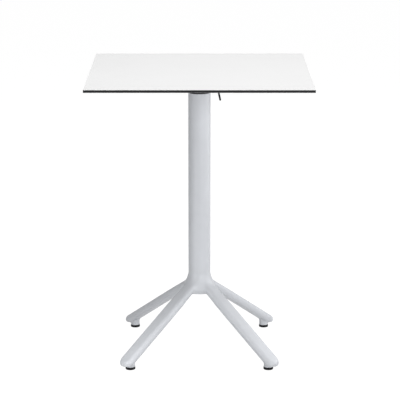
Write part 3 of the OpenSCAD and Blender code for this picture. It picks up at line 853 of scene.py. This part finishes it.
class BARTABLE_OT_spring(bpy.types.Operator):
    """Build the return spring, wound round the lever's rod"""

    bl_idname = "bar_table.spring"
    bl_label = "Return Spring"

    def execute(self, context):
        sizes = context.scene.bar_table.latch
        axis = pivot("lever_release")
        low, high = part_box("return_spring")
        wire, gap = sizes.wire, 1 * MM
        coil_r = axis.y - low.y - wire / 2
        pitch = wire + gap
        leg_x = high.x - wire / 2
        first_x = leg_x - pitch * sizes.spring_turns
        tang = first_x - gap - low.x
        line = [Vector((low.x + tang * k / 4, axis.y, axis.z + coil_r)) for k in range(5)]
        for k in range(1, round(36 * sizes.spring_turns) + 1):
            a = math.radians(10 * k)
            line.append(Vector((
                first_x + pitch * k / 36, axis.y + coil_r * math.sin(a), axis.z + coil_r * math.cos(a)
            )))
        end = line[-1]
        line += [Vector((end.x, end.y, end.z + (high.z - end.z) * k / 4)) for k in range(1, 5)]
        path = bpy.data.curves.new("spring_wire", "CURVE")
        path.dimensions = "3D"
        path.bevel_depth = wire / 2
        path.bevel_resolution = 2
        path.use_fill_caps = True
        spline = path.splines.new("POLY")
        spline.points.add(len(line) - 1)
        for point, place in zip(spline.points, line):
            point.co = (*place, 1)
        wound = bpy.data.objects.new("spring_wire", path)
        context.scene.collection.objects.link(wound)
        bm = evaluated(wound)
        bpy.data.objects.remove(wound)
        bpy.data.curves.remove(path)
        bmesh.ops.remove_doubles(bm, verts=bm.verts, dist=0.001 * MM)
        spring = object_of(bm, "spring")
        spring.data.materials.append(spring_steel())
        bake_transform(spring)
        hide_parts("return_spring")
        return {"FINISHED"}


class BARTABLE_OT_stage(bpy.types.Operator):
    """Set up the pale floor, the soft lights and the camera"""

    bl_idname = "bar_table.stage"
    bl_label = "Stage"

    # name, place, the point that the lamp faces, its diameter in metres and its power in watts
    lamps = (
        ("front", (1.8, -4.0, 1.5), (0, 0, 0.6), 2.5, 80),
        ("back", (2.6, 1.6, 2.2), (0.2, 0.1, 0.1), 1.5, 20),
        ("overhead", (0, -0.3, 3.6), (0, 0, 0), 3.5, 79),
        ("low_left", (-0.6, -0.8, 0.4), (-0.25, -0.25, 0), 0.4, 2.2),
        ("low_right", (1.2, 0, 0.7), (0.25, 0.2, 0), 0.7, 4.5),
    )

    def seen_directly(self, tree):
        """1 for what the camera, a reflection or glass sees, and 0 for light that falls on things."""
        path = tree.nodes.new("ShaderNodeLightPath")
        glossy = tree.nodes.new("ShaderNodeMath")
        glossy.operation = "MAXIMUM"
        through = tree.nodes.new("ShaderNodeMath")
        through.operation = "MAXIMUM"
        tree.links.new(path.outputs["Is Camera Ray"], glossy.inputs[0])
        tree.links.new(path.outputs["Is Glossy Ray"], glossy.inputs[1])
        tree.links.new(glossy.outputs[0], through.inputs[0])
        tree.links.new(path.outputs["Is Transmission Ray"], through.inputs[1])
        return through.outputs[0]

    def floor(self, context, sizes):
        """A floor that looks white but keeps the table's shadow, and doesn't hide it from below."""
        bm = bmesh.new()
        half, drop = 60, 0.2 * MM
        bmesh.ops.create_grid(
            bm, x_segments=1, y_segments=1, size=half, matrix=Matrix.Translation((0, 0, -drop))
        )
        plane = object_of(bm, "floor")
        material = bpy.data.materials.new("pale_floor")
        material.use_nodes = True
        tree = material.node_tree
        surface = tree.nodes["Principled BSDF"]
        surface.inputs["Base Color"].default_value = (*sizes.floor_colour, 1)
        surface.inputs["Roughness"].default_value = 0.9
        surface.inputs["Specular IOR Level"].default_value = 0.0
        glow = tree.nodes.new("ShaderNodeEmission")
        glow.inputs["Strength"].default_value = sizes.floor_glow
        whiten = tree.nodes.new("ShaderNodeMixShader")
        share = tree.nodes.new("ShaderNodeMath")
        share.operation = "MULTIPLY"
        share.inputs[1].default_value = sizes.floor_share
        tree.links.new(self.seen_directly(tree), share.inputs[0])
        tree.links.new(share.outputs[0], whiten.inputs["Fac"])
        tree.links.new(surface.outputs["BSDF"], whiten.inputs[1])
        tree.links.new(glow.outputs["Emission"], whiten.inputs[2])
        below = tree.nodes.new("ShaderNodeNewGeometry")
        clear = tree.nodes.new("ShaderNodeBsdfTransparent")
        one_sided = tree.nodes.new("ShaderNodeMixShader")
        tree.links.new(below.outputs["Backfacing"], one_sided.inputs["Fac"])
        tree.links.new(whiten.outputs["Shader"], one_sided.inputs[1])
        tree.links.new(clear.outputs["BSDF"], one_sided.inputs[2])
        tree.links.new(one_sided.outputs["Shader"], tree.nodes["Material Output"].inputs["Surface"])
        material.cycles.emission_sampling = "NONE"
        plane.data.materials.append(material)

    def room(self, context, sizes):
        """A white room that lights the table only a little."""
        world = bpy.data.worlds.new("white_room")
        world.use_nodes = True
        tree = world.node_tree
        room = tree.nodes["Background"]
        room.inputs["Color"].default_value = (1, 1, 1, 1)
        strength = tree.nodes.new("ShaderNodeMapRange")
        strength.inputs["To Min"].default_value = sizes.surroundings
        strength.inputs["To Max"].default_value = 1.0
        tree.links.new(self.seen_directly(tree), strength.inputs["Value"])
        tree.links.new(strength.outputs["Result"], room.inputs["Strength"])
        context.scene.world = world

    def camera(self, context, sizes):
        """The camera, which looks down on the table's middle from the front."""
        eye = bpy.data.cameras.new("camera")
        eye.sensor_width = 36
        eye.lens = sizes.camera_lens
        eye.clip_end = 200
        camera = bpy.data.objects.new("camera", eye)
        pitch, away = sizes.camera_pitch, sizes.camera_distance
        camera.location = (
            sizes.camera_side, -away * math.cos(pitch), sizes.camera_height + away * math.sin(pitch)
        )
        camera.rotation_euler = (QUARTER - pitch, 0, 0)
        context.scene.collection.objects.link(camera)
        context.scene.camera = camera

    def execute(self, context):
        sizes = context.scene.bar_table.stage
        context.scene.view_settings.view_transform = "Standard"
        self.room(context, sizes)
        self.floor(context, sizes)
        for name, place, aim, size, watts in self.lamps:
            light = bpy.data.lights.new(name, "AREA")
            light.shape = "DISK"
            light.size = size
            light.energy = watts
            holder = bpy.data.objects.new(name, light)
            holder.location = place
            holder.rotation_euler = (Vector(aim) - Vector(place)).to_track_quat("-Z", "Y").to_euler()
            context.scene.collection.objects.link(holder)
        self.camera(context, sizes)
        return {"FINISHED"}


# Panel and registration


OPERATORS = (
    BARTABLE_OT_top, BARTABLE_OT_column, BARTABLE_OT_foot, BARTABLE_OT_glides, BARTABLE_OT_fittings,
    BARTABLE_OT_buffers, BARTABLE_OT_lever, BARTABLE_OT_spring, BARTABLE_OT_stage,
)


class BARTABLE_PT_panel(bpy.types.Panel):
    """Settings and build steps of the bar table"""

    bl_label = "Bar Table"
    bl_idname = "BARTABLE_PT_panel"
    bl_space_type = "VIEW_3D"
    bl_region_type = "UI"
    bl_category = "Bar Table"

    def draw(self, context):
        settings = context.scene.bar_table
        for part in ("top", "stand", "latch", "stage"):
            group = getattr(settings, part)
            box = self.layout.box()
            box.label(text=part.title())
            for key in group.__annotations__:
                box.prop(group, key)
        for operator in OPERATORS:
            self.layout.operator(operator.bl_idname)


CLASSES = (
    TopSettings, StandSettings, LatchSettings, StageSettings, BarTableSettings, *OPERATORS,
    BARTABLE_PT_panel,
)


def register():
    for one in CLASSES:
        bpy.utils.register_class(one)
    bpy.types.Scene.bar_table = PointerProperty(
        type=BarTableSettings, name="Bar Table", description="Sizes and colours of the bar table"
    )


def unregister():
    del bpy.types.Scene.bar_table
    for one in reversed(CLASSES):
        bpy.utils.unregister_class(one)


def main():
    register()
    for operator in OPERATORS:
        group, name = operator.bl_idname.split(".")
        getattr(getattr(bpy.ops, group), name)()
    bpy.context.view_layer.update()


if __name__ == "__main__":
    main()
